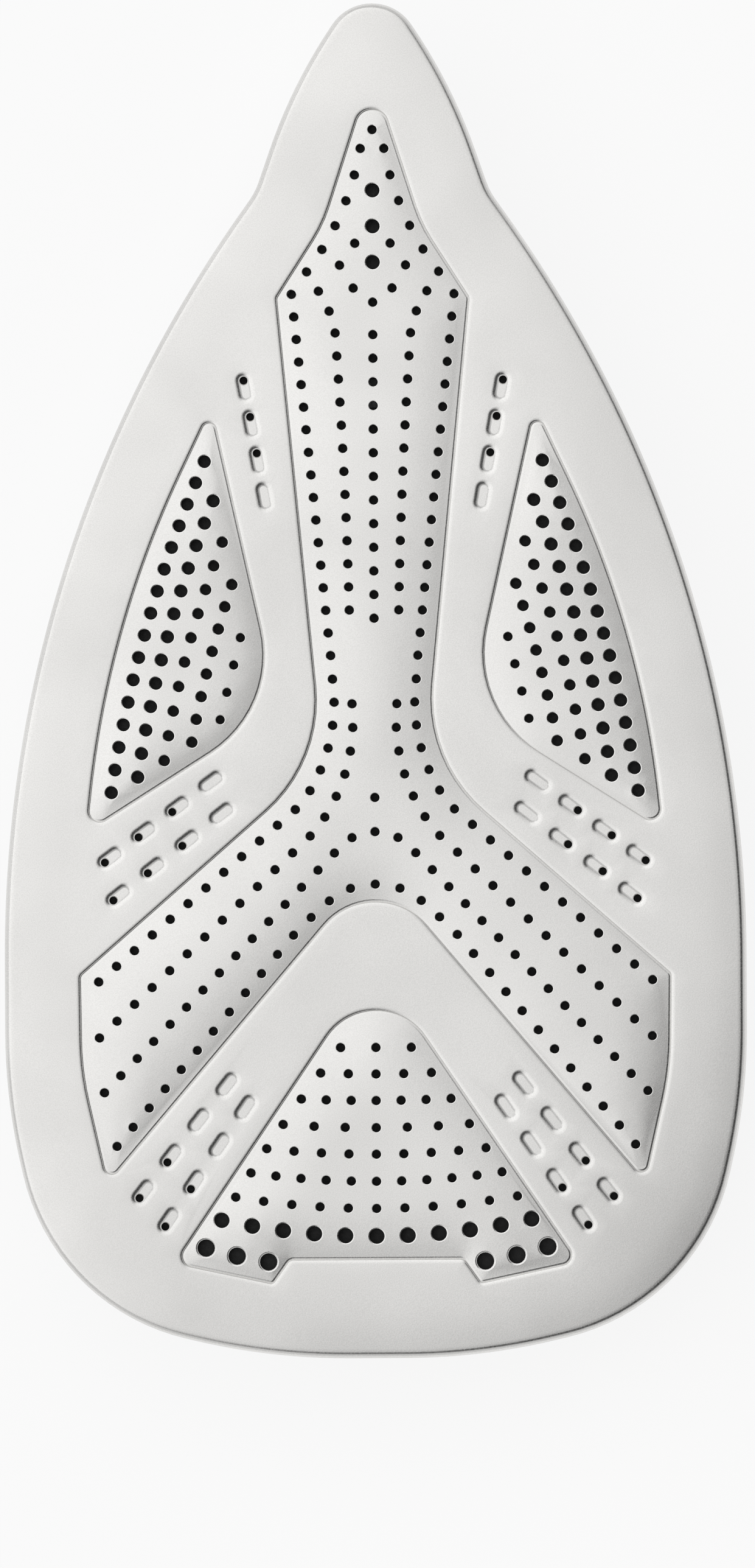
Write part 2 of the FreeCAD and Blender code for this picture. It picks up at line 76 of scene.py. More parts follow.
# %% Camera straight above the ironing face
PICTURE_TALL = 265.9 * MM
PICTURE_CENTRE = (0.43 * MM, -17.5 * MM)
PICTURE_ROLL = -0.25  # degrees
LENS, SENSOR = 200.0, 36.0

scene = bpy.context.scene
camera = bpy.data.objects.new("camera", bpy.data.cameras.new("camera"))
camera.data.lens, camera.data.sensor_width = LENS, SENSOR
camera_height = PICTURE_TALL * LENS / SENSOR
camera.location = (*PICTURE_CENTRE, cad_box[1].z + camera_height)
camera.rotation_euler = (0, 0, math.radians(PICTURE_ROLL))
scene.collection.objects.link(camera)
scene.camera = camera
scene.view_settings.view_transform = "Standard"
print("camera above the face, m:", round(camera_height, 3))

# %% [markdown]
# ## Node trees
# Materials and geometry trees are both made of nodes, and both are written the same way here:
# one function adds a node, sets its properties, and fills each input with a value or a link.
# Colours are written in sRGB, as a screen shows them, and shaders take linear light, so they are turned.

# %% One function for every node
def fill(tree, made, inputs):
    """Gives each input of a node a value, a link from a socket, or links from a list of sockets."""
    for key, value in inputs.items():
        several = value if isinstance(value, list) else [value]
        if isinstance(several[0], bpy.types.NodeSocket):
            for socket in several:
                tree.links.new(socket, made.inputs[key])
        else:
            made.inputs[key].default_value = value


def node(tree, kind, inputs=None, **settings):
    """Adds a node with its properties and its inputs."""
    made = tree.nodes.new(kind)
    for name, value in settings.items():
        setattr(made, name, value)
    fill(tree, made, inputs or {})
    return made


def linear(hex_colour):
    """sRGB hex to the linear colour that shaders take."""
    parts = [int(hex_colour[i:i + 2], 16) / 255 for i in (1, 3, 5)]
    return [c / 12.92 if c <= 0.04045 else ((c + 0.055) / 1.055) ** 2.4 for c in parts] + [1.0]


def per(size_mm):
    """Texture scale at which one feature of the pattern is that many millimetres wide."""
    return 1 / (size_mm * MM)


print("sRGB mid grey in linear light:", round(linear("#808080")[0], 3))

# %% [markdown]
# ## Soft panels
# Satin metal looks like what it reflects, so the light is most of its finish.
# A point lamp would show as a small glare, and an even white dome would hide every pressed form.
# So one large panel hangs over the sole and reaches further to the left than to the right: slopes that
# face left stay bright, and slopes that face right look past its edge. A weak panel lights the left side,
# and one below the floor lights the underside for views from there.

# %% Lamps above, beside and below
def softbox(name, place, aim, size, radiance, spin=0.0):
    """Area lamp set by how bright its surface looks."""
    lamp = bpy.data.lights.new(name, "AREA")
    lamp.shape, lamp.size, lamp.size_y = "RECTANGLE", size[0], size[1]
    lamp.energy = radiance * math.pi * size[0] * size[1]
    holder = bpy.data.objects.new(name, lamp)
    holder.location = place
    holder.rotation_euler = Vector(aim).to_track_quat("-Z", "Y").to_euler()
    holder.rotation_euler.z += spin
    holder.visible_camera = False
    scene.collection.objects.link(holder)


softbox("top_panel", (-1.28, 0.74, 3.2), (0, 0, -1), (4.66, 6.5), 0.67, math.radians(-30))
softbox("left_panel", (-3.6, 1.8, 1.3), (3.0, -1.5, -1.0), (5.0, 1.8), 0.25)
softbox("under_panel", (0.0, -0.3, -1.2), (0, 0.2, 1), (1.6, 1.6), 0.8)

# %% [markdown]
# ## Room
# The room is the world's colour. It could be a picture of a real studio, but a few tones are enough for
# satin metal and need no file. Rays pass through an area lamp, so a reflection adds the lamp and the room
# behind it, and the two are set together. High up, the room is pale on the left and dark on the right, and
# shoulders that face right or towards the heel show a thin dark line, as in the photograph.
# Lower down it is an even pale grey, so that the metal stays pale when it is looked at from the side.
# In a Mix node, the sockets for colours are inputs 6 and 7 and output 2.

# %% One-sided room
SHADE_SIDE = (0.85, -0.5, 0.0)
ROOM_TONES, ROOM_STOPS = ("#d4d4d4", "#b4b4b4", "#303030", "#282828"), (0.0, 0.5, 0.56, 1.0)
LOW_TONE, LOW_RISE, HIGH_RISE = "#dedede", 0.5, 0.75

world = bpy.data.worlds.new("room")
world.use_nodes = True
tree = world.node_tree
toward = node(tree, "ShaderNodeTexCoord").outputs["Generated"]
rise = node(tree, "ShaderNodeSeparateXYZ", {"Vector": toward}).outputs["Z"]
turned = node(tree, "ShaderNodeVectorMath", {0: toward, 1: SHADE_SIDE}, operation="DOT_PRODUCT")
side = node(tree, "ShaderNodeMapRange", {
    "Value": turned.outputs["Value"], "From Min": -1.0, "From Max": 1.0})
walls = node(tree, "ShaderNodeValToRGB", {"Fac": side.outputs[0]})
for where in ROOM_STOPS[1:3]:
    walls.color_ramp.elements.new(where)
for stop, colour, where in zip(walls.color_ramp.elements, ROOM_TONES, ROOM_STOPS):
    stop.color, stop.position = linear(colour), where
above = node(tree, "ShaderNodeMapRange", {"Value": rise, "From Min": LOW_RISE, "From Max": HIGH_RISE})
room = node(tree, "ShaderNodeMix", {
    0: above.outputs[0], 6: linear(LOW_TONE), 7: walls.outputs[0]}, data_type="RGBA")
fill(tree, tree.nodes["Background"], {"Color": room.outputs[2]})
scene.world = world
print("room tones from left to right:", ROOM_TONES, "low down:", LOW_TONE)

# %% [markdown]
# ## Floor
# The floor is white paper. Lit paper alone comes out grey, so most of what the camera and the metal see of
# it is a plain white glow, and the rest is lit paper, which keeps a soft shadow. Its back is clear, so that
# the underside can be looked at through it.

# %% White paper floor
FLOOR_HALF, FLOOR_GLOW = 4.0, 0.85

floor_mesh = bpy.data.meshes.new("floor")
corners = [(-1, -1), (1, -1), (1, 1), (-1, 1)]
floor_mesh.from_pydata([(x * FLOOR_HALF, y * FLOOR_HALF, 0) for x, y in corners], [], [(0, 1, 2, 3)])
floor = bpy.data.objects.new("floor", floor_mesh)
scene.collection.objects.link(floor)
floor.visible_shadow = False

paper = bpy.data.materials.new("white_paper_floor")
paper.use_nodes = True
tree = paper.node_tree
tree.nodes.clear()
path = node(tree, "ShaderNodeLightPath").outputs
seen = path["Is Camera Ray"]
for ray in ("Is Glossy Ray", "Is Transmission Ray"):
    added = node(tree, "ShaderNodeMath", {0: seen, 1: path[ray]}, operation="ADD", use_clamp=True)
    seen = added.outputs[0]
share = node(tree, "ShaderNodeMath", {0: seen, 1: FLOOR_GLOW}, operation="MULTIPLY")
matt = node(tree, "ShaderNodeBsdfDiffuse", {"Color": linear("#fafafa")})
glow = node(tree, "ShaderNodeEmission", {"Color": linear("#ffffff"), "Strength": 1.0})
front = node(tree, "ShaderNodeMixShader", {0: share.outputs[0], 1: matt.outputs[0], 2: glow.outputs[0]})
behind = node(tree, "ShaderNodeNewGeometry").outputs["Backfacing"]
clear = node(tree, "ShaderNodeBsdfTransparent")
both = node(tree, "ShaderNodeMixShader", {0: behind, 1: front.outputs[0], 2: clear.outputs[0]})
node(tree, "ShaderNodeOutputMaterial", {"Surface": both.outputs[0]})
floor_mesh.materials.append(paper)
print("floor, m:", 2 * FLOOR_HALF, "share that glows:", FLOOR_GLOW)

# %% [markdown]
# ## Satin stainless steel
# The skin is stainless sheet, pressed and then bead blasted: a pale warm grey metal with no direction to
# its polish, and a fine frosted grain. Blasting beads leave pits of a few hundredths of a millimetre,
# which is below what the picture can show, so the grain is drawn about ten times coarser.
# Slow changes of shade, about as wide as a thumb, keep a broad face from looking like paint.

# %% Bead-blasted stainless
CLOUD_MM, GRAIN_MM = 28, 0.22


def new_finish(name):
    """A new material with its node tree, its shader and its Object coordinates."""
    material = bpy.data.materials.new(name)
    material.use_nodes = True
    tree = material.node_tree
    place = node(tree, "ShaderNodeTexCoord").outputs["Object"]
    return material, tree, tree.nodes["Principled BSDF"], place


stainless, tree, shader, place = new_finish("satin_bead_blasted_stainless")
cloud = node(tree, "ShaderNodeTexNoise", {"Vector": place, "Scale": per(CLOUD_MM), "Detail": 2.0})
shade = node(tree, "ShaderNodeValToRGB", {"Fac": cloud.outputs["Fac"]})
for stop, colour, where in zip(shade.color_ramp.elements, ("#e0dfdd", "#e8e7e5"), (0.35, 0.65)):
    stop.color, stop.position = linear(colour), where
grain = node(tree, "ShaderNodeTexNoise", {
    "Vector": place, "Scale": per(GRAIN_MM), "Detail": 3.0, "Roughness": 0.6}).outputs["Fac"]
speck = node(tree, "ShaderNodeMapRange", {
    "Value": grain, "From Min": 0.3, "From Max": 0.7, "To Min": 0.2, "To Max": 0.28})
frost = node(tree, "ShaderNodeMapRange", {
    "Value": grain, "From Min": 0.38, "From Max": 0.62, "To Min": 0.9, "To Max": 1.0})
frosted = node(tree, "ShaderNodeVectorMath", {
    0: shade.outputs["Color"], "Scale": frost.outputs[0]}, operation="SCALE")
bump = node(tree, "ShaderNodeBump", {"Height": grain, "Strength": 0.25, "Distance": 0.02 * MM})
fill(tree, shader, {"Metallic": 1.0, "Base Color": frosted.outputs[0], "Roughness": speck.outputs[0],
                    "Normal": bump.outputs[0]})
print("finish:", stainless.name)

# %% [markdown]
# ## Outlines of the skin
# The skin's edge and its sunk panels are smooth closed lines: straight runs joined by arcs.
# They could be drawn as curves by hand, but each is a polygon with a radius at every corner,
# so a short function rounds the corners and keeps, at each point, the direction that points inward.
# With that direction a line can be moved inward by any distance, which is how every rolled edge is made.

# %% Corners and radii in mm
SOLE = [
    (4.3, 115.0, 8.0), (13.6, 101.3, 90.0), (19.9, 83.1, 12.0), (63.0, 22.3, 218.0),
    (63.0, -70.5, 101.0), (55.0, -106.2, 37.0), (17.9, -115.0, 112.0),
]
CENTRE_PANEL = [
    (2.15, 97.1, 2.9), (8.5, 77.5, 25.0), (16.5, 65.0, 1.2), (8.9, -13.5, 25.0), (50.3, -49.8, 1.2),
    (50.1, -66.0, 50.0), (45.7, -85.4, 1.5), (0.0, -31.5, 11.2),
]
REAR_PANEL = [
    (0.0, -47.7, 10.2), (34.5, -98.8, 2.0), (17.6, -102.4, 0.9), (14.7, -98.3, 1.2),
]
SIDE_PANEL = [
    (27.4, 46.9, 1.4), (45.5, 8.9, 170.0), (49.1, -25.8, 2.0), (15.9, -4.8, 20.0),
]


def mirrored(half):
    """Corners of the whole outline from its right half."""
    return half + [(-x, y, r) for x, y, r in reversed(half) if x > 0]


print("corners:", [len(mirrored(half)) for half in (SOLE, CENTRE_PANEL, REAR_PANEL)], len(SIDE_PANEL))

# %% Rounded outlines
ARC_STEP = math.radians(6)
CHORD = 2.5


def rounded(corners):
    """Points of a clockwise outline with rounded corners, in mm, each with its inward direction."""
    line = []
    for i, (x, y, r) in enumerate(corners):
        here = Vector((x, y))
        back = (Vector(corners[i - 1][:2]) - here).normalized()
        ahead = (Vector(corners[(i + 1) % len(corners)][:2]) - here).normalized()
        half = back.angle(ahead) / 2
        middle = here + (back + ahead).normalized() * (r / math.sin(half))
        turn = math.pi - 2 * half
        steps = max(2, math.ceil(max(turn / ARC_STEP, turn * r / CHORD)))
        start = here + back * (r / math.tan(half)) - middle
        outward_bend = back.x * ahead.y - back.y * ahead.x > 0
        for k in range(steps + 1):
            angle = turn * k / steps * (-1 if outward_bend else 1)
            spoke = Vector((start.x * math.cos(angle) - start.y * math.sin(angle),
                            start.x * math.sin(angle) + start.y * math.cos(angle)))
            inward = -spoke.normalized() if outward_bend else spoke.normalized()
            line.append((middle + spoke, inward))
    return line


def ring(line, inset):
    """The outline moved inward: points in mm."""
    return [p + n * inset for p, n in line]


sole_line = rounded(mirrored(SOLE))
panel_lines = [rounded(mirrored(CENTRE_PANEL)), rounded(mirrored(REAR_PANEL)), rounded(SIDE_PANEL)]
panel_lines.append([(Vector((-p.x, p.y)), Vector((-n.x, n.y))) for p, n in reversed(panel_lines[2])])
print("points on the outlines:", len(sole_line), [len(line) for line in panel_lines])

# %% [markdown]
# ## Steam holes and dimples, read from the CAD
# The holes and dimples must sit exactly over the steam galleries of the casting, so their places are read
# from the CAD skin and not typed again. In the CAD each hole is a small upright hexagon wall that starts
# at the back of the sheet, and each dimple a small island of sloping faces. Loose triangles share no
# points, so a copy of the mesh is merged before islands are looked for.

# %% Upright and sloping islands of the CAD skin
FACE_Z, BACK_Z = 28.0, 27.1  # heights in mm
PANEL_Z, FLOOR_Z = 27.5, 27.4  # the sunk panels' floor in the CAD and here
MERGE, CLOSE = 0.001, 0.01  # mm: how near points are merged, how near heights count as equal
UPRIGHT, SLOPING = 0.02, (0.02, 0.98)  # upward share of a face's normal


def islands(faces):
    """The points of each group of faces that share points, always in the same order."""
    left, found = set(faces), []
    while left:
        island, edge = set(), [left.pop()]
        while edge:
            face = edge.pop()
            island.add(face)
            near = {f for v in face.verts for f in v.link_faces} & left
            left -= near
            edge += near
        found.append(sorted({v for f in island for v in f.verts}, key=lambda v: v.co[:]))
    return found


def lowest(face):
    """Height of a face's lowest point, in mm."""
    return min(v.co.z for v in face.verts) / MM


probe = bmesh.new()
probe.from_mesh(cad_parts["sole_skin"].data)
bmesh.ops.remove_doubles(probe, verts=probe.verts, dist=MERGE * MM)
probe.normal_update()
upright = islands(f for f in probe.faces
                  if abs(f.normal.z) < UPRIGHT and abs(lowest(f) - BACK_Z) < CLOSE)
sloping = islands(f for f in probe.faces
                  if SLOPING[0] < f.normal.z < SLOPING[1] and lowest(f) > PANEL_Z - CLOSE)
print("upright islands:", len(upright), "sloping islands:", len(sloping))

# %% Places of the holes and dimples
HEXAGON_REACH = math.sqrt(math.pi / 3 / math.sin(math.pi / 3))  # corner radius for a unit circle's area
HOLE_FIT = 0.92  # the black discs in the photograph are 8 % narrower than the CAD's holes
DIMPLE_REACH = 6.0
OUTLET_NEAR = 2.0

holes, dimples = [], []
for island in upright:
    foot = [v.co / MM for v in island if v.co.z < (BACK_Z + CLOSE) * MM]
    centre = sum(foot, Vector()) / len(foot)
    reach = max((p - centre).length for p in foot)
    holes.append((centre.x, centre.y, reach / HEXAGON_REACH * HOLE_FIT))
for island in sloping:
    brim = [v.co / MM for v in island if v.co.z > (FACE_Z - CLOSE) * MM]
    centre = sum(brim, Vector()) / max(len(brim), 1)
    if brim and max((p - centre).length for p in brim) < DIMPLE_REACH:
        spread = [(p.x - centre.x, p.y - centre.y) for p in brim]
        crossed, apart = sum(x * y for x, y in spread), sum(x * x - y * y for x, y in spread)
        dimples.append((centre.x, centre.y, 0.5 * math.atan2(2 * crossed, apart)))
probe.free()
holes.sort()
dimples.sort()
outlets = [h for h in holes if any(math.dist(h[:2], d[:2]) < OUTLET_NEAR for d in dimples)]
perforations = [h for h in holes if h not in outlets]
print("steam holes:", len(perforations), "dimples:", len(dimples), "with outlets:", len(outlets))

# %% [markdown]
# ## Sheet in fine triangles
# Several hundred holes in flat sheet could be cut with booleans, which is slow and leaves long thin faces,
# or filled as curves, which puts no points between the holes. The sheet has to take a gentle crown later,
# so it needs points everywhere: a constrained triangulation joins the outlines, the hole circles and a
# loose grid of points, and keeps what lies inside the outlines and outside the holes.

# %% Circles and a grid of points
HOLE_SIDES = 20
EVENLY = [2 * math.pi * k / HOLE_SIDES for k in range(HOLE_SIDES)]
GRID_CLEAR = 0.55  # share of the spacing that the grid keeps from the loops


def circle(x, y, r, angles=EVENLY):
    """Anticlockwise points of one hole, in mm."""
    return [Vector((x + r * math.cos(t), y + r * math.sin(t))) for t in angles]


def grid(loops, spacing):
    """Staggered points over the loops' box, none of them close to a loop."""
    along = []
    for loop in loops:
        for p, q in zip(loop, loop[1:] + loop[:1]):
            parts = math.ceil((q - p).length / (spacing / 2))
            along += [p.lerp(q, k / parts) for k in range(parts)]
    taken = KDTree(len(along))
    for i, p in enumerate(along):
        taken.insert((p.x, p.y, 0), i)
    taken.balance()
    low, high = ([pick(p[i] for p in along) for i in (0, 1)] for pick in (min, max))
    lift = spacing * math.sqrt(3) / 2
    spots = [Vector((low[0] + (i + j % 2 / 2) * spacing, low[1] + j * lift))
             for j in range(int((high[1] - low[1]) / lift) + 1)
             for i in range(int((high[0] - low[0]) / spacing) + 1)]
    return [p for p in spots if taken.find((p.x, p.y, 0))[2] > spacing * GRID_CLEAR]


print("grid points in a trial circle's box:", len(grid([circle(0.0, 0.0, 10.0)], 2.0)))

# %% Triangles between outlines, holes and the grid
SAME_POINT = 1e-6


def turns_left(loop):
    """True for an anticlockwise loop, by its signed area."""
    return sum(p.x * q.y - p.y * q.x for p, q in zip(loop, loop[1:] + loop[:1])) > 0


def triangles(loops, spacing=None):
    """Points and triangles over closed loops and a grid, if it has a spacing, and each one's loops."""
    loops = [loop if turns_left(loop) else loop[::-1] for loop in loops]
    rows, faces = [p for loop in loops for p in loop], []
    for loop in loops:
        first = faces[-1][-1] + 1 if faces else 0
        faces.append(list(range(first, first + len(loop))))
    if spacing:
        rows += grid(loops, spacing)
    made = delaunay_2d_cdt(rows, [], faces, 0, SAME_POINT)
    return made[0], made[2], made[5]


def add_faces(bm, points, kept, height):
    """Adds the kept triangles, each point at the height in mm that a function gives for it."""
    used = {i: bm.verts.new(Vector((*points[i], height(points[i]))) * MM)
            for i in sorted({i for f in kept for i in f})}
    for f in kept:
        bm.faces.new([used[i] for i in f])


def flat_sheet(bm, loops, z, spacing):
    """Adds the sheet that lies in an odd number of loops, at a height in mm."""
    points, faces, inside = triangles(loops, spacing)
    kept = [f for f, within in zip(faces, inside) if len(within) % 2]
    add_faces(bm, points, kept, lambda p: z)
    return len(kept)


print("triangles over a trial circle:", len(triangles([circle(0.0, 0.0, 10.0)])[1]))

# %% [markdown]
# ## Rolled rim of each hole
# A punch pulls the sheet down a little before it breaks through, so each hole has a small rounded rim,
# which catches the light as a thin bright crescent. A Bevel modifier could round it, but would need the
# same width at every hole. Here the rim is three short rings, and a Geometry Nodes tree puts it on every
# hole, scales it by the hole's radius, read from an attribute, and leaves its depth alone.

# %% How every tree starts and ends
NUMBER, WHOLE, THING = "NodeSocketFloat", "NodeSocketInt", "NodeSocketObject"


def start_tree(name, sizes):
    """A geometry tree with one mesh input, named sizes and a material, and its input sockets."""
    tree = bpy.data.node_groups.new(name, "GeometryNodeTree")
    tree.interface.new_socket("Mesh", in_out="INPUT", socket_type="NodeSocketGeometry")
    for size, kind in sizes.items():
        tree.interface.new_socket(size, in_out="INPUT", socket_type=kind)
    tree.interface.new_socket("Material", in_out="INPUT", socket_type="NodeSocketMaterial")
    tree.interface.new_socket("Mesh", in_out="OUTPUT", socket_type="NodeSocketGeometry")
    return tree, node(tree, "NodeGroupInput").outputs


def end_tree(tree, geometry, material):
    """Every tree ends in plain geometry that has its material."""
    plain = node(tree, "GeometryNodeRealizeInstances", {"Geometry": geometry})
    dressed = node(tree, "GeometryNodeSetMaterial", {"Geometry": plain.outputs[0], "Material": material})
    node(tree, "NodeGroupOutput", {0: dressed.outputs[0]})
    print("tree:", tree.name, "with", len(tree.nodes), "nodes")


print("kinds of size:", NUMBER, WHOLE, THING)

# %% Tree: rims on the holes
MID_RING = 0.3  # share of the growth that is left, and of the roll that is done, at the middle ring

rim_tree, given = start_tree("hole_rims", {
    "Top": NUMBER, "Depth": NUMBER, "Roll": NUMBER, "Hole growth": NUMBER, "Hole sides": WHOLE})
radius = node(rim_tree, "GeometryNodeInputNamedAttribute", {"Name": "hole_radius"}, data_type="FLOAT")
mid_growth = node(rim_tree, "ShaderNodeMath", {
    0: given["Hole growth"], 1: MID_RING, 2: 1 - MID_RING}, operation="MULTIPLY_ADD")
mid_roll = node(rim_tree, "ShaderNodeMath", {0: given["Roll"], 1: MID_RING}, operation="MULTIPLY")
stages = [(given["Hole growth"], 0.0), (mid_growth.outputs[0], mid_roll.outputs[0]),
          (1.0, given["Roll"]), (1.0, given["Depth"])]
rings = []
for (upper, top), (lower, low) in zip(stages, stages[1:]):
    drop = node(rim_tree, "ShaderNodeMath", {0: low, 1: top}, operation="SUBTRACT").outputs[0]
    cone = node(rim_tree, "GeometryNodeMeshCone", {
        "Vertices": given["Hole sides"], "Radius Top": upper, "Radius Bottom": lower, "Depth": drop},
        fill_type="NONE")
    sunk = node(rim_tree, "ShaderNodeMath", {0: low, 1: -1.0}, operation="MULTIPLY").outputs[0]
    lower_to = node(rim_tree, "ShaderNodeCombineXYZ", {"Z": sunk})
    rings.append(node(rim_tree, "GeometryNodeTransform", {
        "Geometry": cone.outputs["Mesh"], "Translation": lower_to.outputs[0]}).outputs[0])
rim = node(rim_tree, "GeometryNodeJoinGeometry", {"Geometry": rings})
wide = node(rim_tree, "ShaderNodeCombineXYZ", {"X": radius.outputs[0], "Y": radius.outputs[0], "Z": 1.0})
rims = node(rim_tree, "GeometryNodeInstanceOnPoints", {
    "Points": given["Mesh"], "Instance": rim.outputs[0], "Scale": wide.outputs[0]})
level = node(rim_tree, "ShaderNodeCombineXYZ", {"Z": given["Top"]})
raised = node(rim_tree, "GeometryNodeTransform", {
    "Geometry": rims.outputs[0], "Translation": level.outputs[0]})
end_tree(rim_tree, raised.outputs[0], given["Material"])

# %% [markdown]
# ## One dimple, and a tree that repeats it
# A dimple is a short slot pressed into the land: the sheet rolls over a soft shoulder that grows steadily
# steeper and ends in a flat floor. Most have a steam outlet at one end that breaks through the floor and
# the end of the shoulder. Displacing the whole land would need many more points, so one dimple of each sort
# is made with the same triangulation, its points are dropped by how far they lie inside the edge, and a
# second tree sets it on every dimple's place and turns it along its row.

# %% Outline and depth of a dimple
DIMPLE_LONG, DIMPLE_WIDE = 2.88, 1.68
SHOULDER, SHOULDER_TURN = 1.05, math.radians(33)
SHOULDER_STEPS = (0.0, 0.15, 0.3, 0.45, 0.6, 0.75, 0.9, 1.05)
END_STEPS = 10


def dimple_loop(inset):
    """Anticlockwise outline of a dimple along X, moved inward."""
    reach, r = DIMPLE_LONG - DIMPLE_WIDE, DIMPLE_WIDE - inset
    return [Vector((end * reach + r * math.cos(t), r * math.sin(t)))
            for end, start in ((1, -math.pi / 2), (-1, math.pi / 2))
            for t in [start + math.pi * k / END_STEPS for k in range(END_STEPS + 1)]]


def dimple_drop(p):
    """Depth of the dimple under a place in it."""
    beyond = max(abs(p.x) - (DIMPLE_LONG - DIMPLE_WIDE), 0.0)
    inset = min(max(DIMPLE_WIDE - math.hypot(beyond, p.y), 0.0), SHOULDER)
    return -math.log(math.cos(SHOULDER_TURN * inset / SHOULDER)) * SHOULDER / SHOULDER_TURN


print("dimple depth, mm:", round(dimple_drop(Vector((0.0, 0.0))), 2))

# %% Two sorts of dimple
OUTLET_PLACE, OUTLET_R, OUTLET_RIM, LIP_DROP = 1.25, 0.68, 0.83, 0.14


def join_rings(bm, rings):
    """Faces between closed rings of as many points each."""
    for upper, lower in zip(rings, rings[1:]):
        for i in range(len(upper)):
            bm.faces.new((upper[i - 1], upper[i], lower[i], lower[i - 1]))


def dimple_object(name, outlet):
    """One dimple at the origin, under height 0, and the angles of the points round its outlet."""
    loops = [dimple_loop(inset) for inset in SHOULDER_STEPS]
    points, faces, inside = triangles(loops + [circle(OUTLET_PLACE, 0.0, OUTLET_RIM)] * outlet)
    kept = [f for f, within in zip(faces, inside) if 0 in within and len(loops) not in within]
    bm = bmesh.new()
    add_faces(bm, points, kept, lambda p: -dimple_drop(p))
    from_outlet = {v: Vector((v.co.x / MM - OUTLET_PLACE, v.co.y / MM)) for v in bm.verts}
    rim = [v for v in bm.verts if v.is_boundary and from_outlet[v].length < OUTLET_RIM + CLOSE]
    rim.sort(key=lambda v: math.atan2(from_outlet[v].y, from_outlet[v].x))
    angles = [math.atan2(from_outlet[v].y, from_outlet[v].x) for v in rim]
    lip = [Vector((*p, v.co.z / MM - LIP_DROP))
           for p, v in zip(circle(OUTLET_PLACE, 0.0, OUTLET_R, angles), rim)]
    turns = [rim, [bm.verts.new(p * MM) for p in lip],
             [bm.verts.new(Vector((p.x, p.y, BACK_Z - FACE_Z)) * MM) for p in lip]]
    join_rings(bm, turns)
    mesh = bpy.data.meshes.new(name)
    bm.to_mesh(mesh)
    bm.free()
    return bpy.data.objects.new(name, mesh), angles


dimple_things = {outlet: dimple_object("dimple", outlet) for outlet in (True, False)}
print("faces of a dimple:", [len(thing.data.polygons) for thing, _ in dimple_things.values()])

# %% Tree: dimples in their rows
dimple_tree, given = start_tree("dimples", {"Dimple": THING, "Top": NUMBER})
lean = node(dimple_tree, "GeometryNodeInputNamedAttribute", {"Name": "lean"}, data_type="FLOAT")
about = node(dimple_tree, "ShaderNodeCombineXYZ", {"Z": lean.outputs[0]})
one = node(dimple_tree, "GeometryNodeObjectInfo", {"Object": given["Dimple"]})
many = node(dimple_tree, "GeometryNodeInstanceOnPoints", {
    "Points": given["Mesh"], "Instance": one.outputs["Geometry"], "Rotation": about.outputs[0]})
level = node(dimple_tree, "ShaderNodeCombineXYZ", {"Z": given["Top"]})
raised = node(dimple_tree, "GeometryNodeTransform", {
    "Geometry": many.outputs[0], "Translation": level.outputs[0]})
end_tree(dimple_tree, raised.outputs[0], given["Material"])

# %% [markdown]
# ## Running the trees
# A tree runs as a modifier on a mesh that holds only points and their attributes.
# The result is taken out as a plain mesh, because instances and modifiers don't survive an export.

# %% From points to rims and dimples
HOLE_GROWTH, ROLL = 1.2, 0.15


def grown_by(tree, points, attribute, sizes):
    """Runs a tree on points in mm that carry one number each, and returns what it made as a plain mesh."""
    mesh = bpy.data.meshes.new("points")
    mesh.from_pydata([(x * MM, y * MM, 0) for x, y, _ in points], [], [])
    numbers = mesh.attributes.new(attribute, "FLOAT", "POINT")
    numbers.data.foreach_set("value", [number for _, _, number in points])
    holder = bpy.data.objects.new("holder", mesh)
    scene.collection.objects.link(holder)
    modifier = holder.modifiers.new("tree", "NODES")
    modifier.node_group = tree
    for item in tree.interface.items_tree:
        if item.in_out == "INPUT" and item.name in sizes:
            modifier[item.identifier] = sizes[item.name]
    depsgraph = bpy.context.evaluated_depsgraph_get()
    made = bpy.data.meshes.new_from_object(holder.evaluated_get(depsgraph))
    holder.modifiers.remove(modifier)
    bpy.data.objects.remove(holder)
    return made


rim_sizes = {"Top": FLOOR_Z * MM, "Depth": (FLOOR_Z - BACK_Z) * MM, "Roll": ROLL * MM,
             "Hole growth": HOLE_GROWTH, "Hole sides": HOLE_SIDES, "Material": stainless}
repeated = [grown_by(rim_tree, [(x, y, r * MM) for x, y, r in perforations], "hole_radius", rim_sizes)]
placed = {True: [], False: []}
for x, y, lean in dimples:
    near = [h for h in outlets if math.dist(h[:2], (x, y)) < OUTLET_NEAR]
    placed[bool(near)].append((x, y, math.atan2(near[0][1] - y, near[0][0] - x) if near else lean))
for outlet, spots in placed.items():
    thing = dimple_things[outlet][0]
    scene.collection.objects.link(thing)
    sizes = {"Dimple": thing, "Top": FACE_Z * MM, "Material": stainless}
    repeated.append(grown_by(dimple_tree, spots, "lean", sizes))
    bpy.data.objects.remove(thing)
print("repeated faces:", [len(mesh.polygons) for mesh in repeated])

# %% [markdown]
# ## Pressed steps and rolled edge
# What joins the flat areas is a band: one outline moved inward and down in small steps. A Bevel would give
# one even round, but the press leaves an uneven one, so its profile is written down: the step into a
# panel has a wide soft shoulder, a steep narrow wall and a shallow channel at its foot, from which the
# panel's floor rises. Shoulder and channel slope in opposite directions, so one mirrors the pale side of
# the room and the other the dark side: each border shows as a thin dark line beside a bright one.
# The skin's edge is a quarter round that runs down into the flange and turns under as a hem.

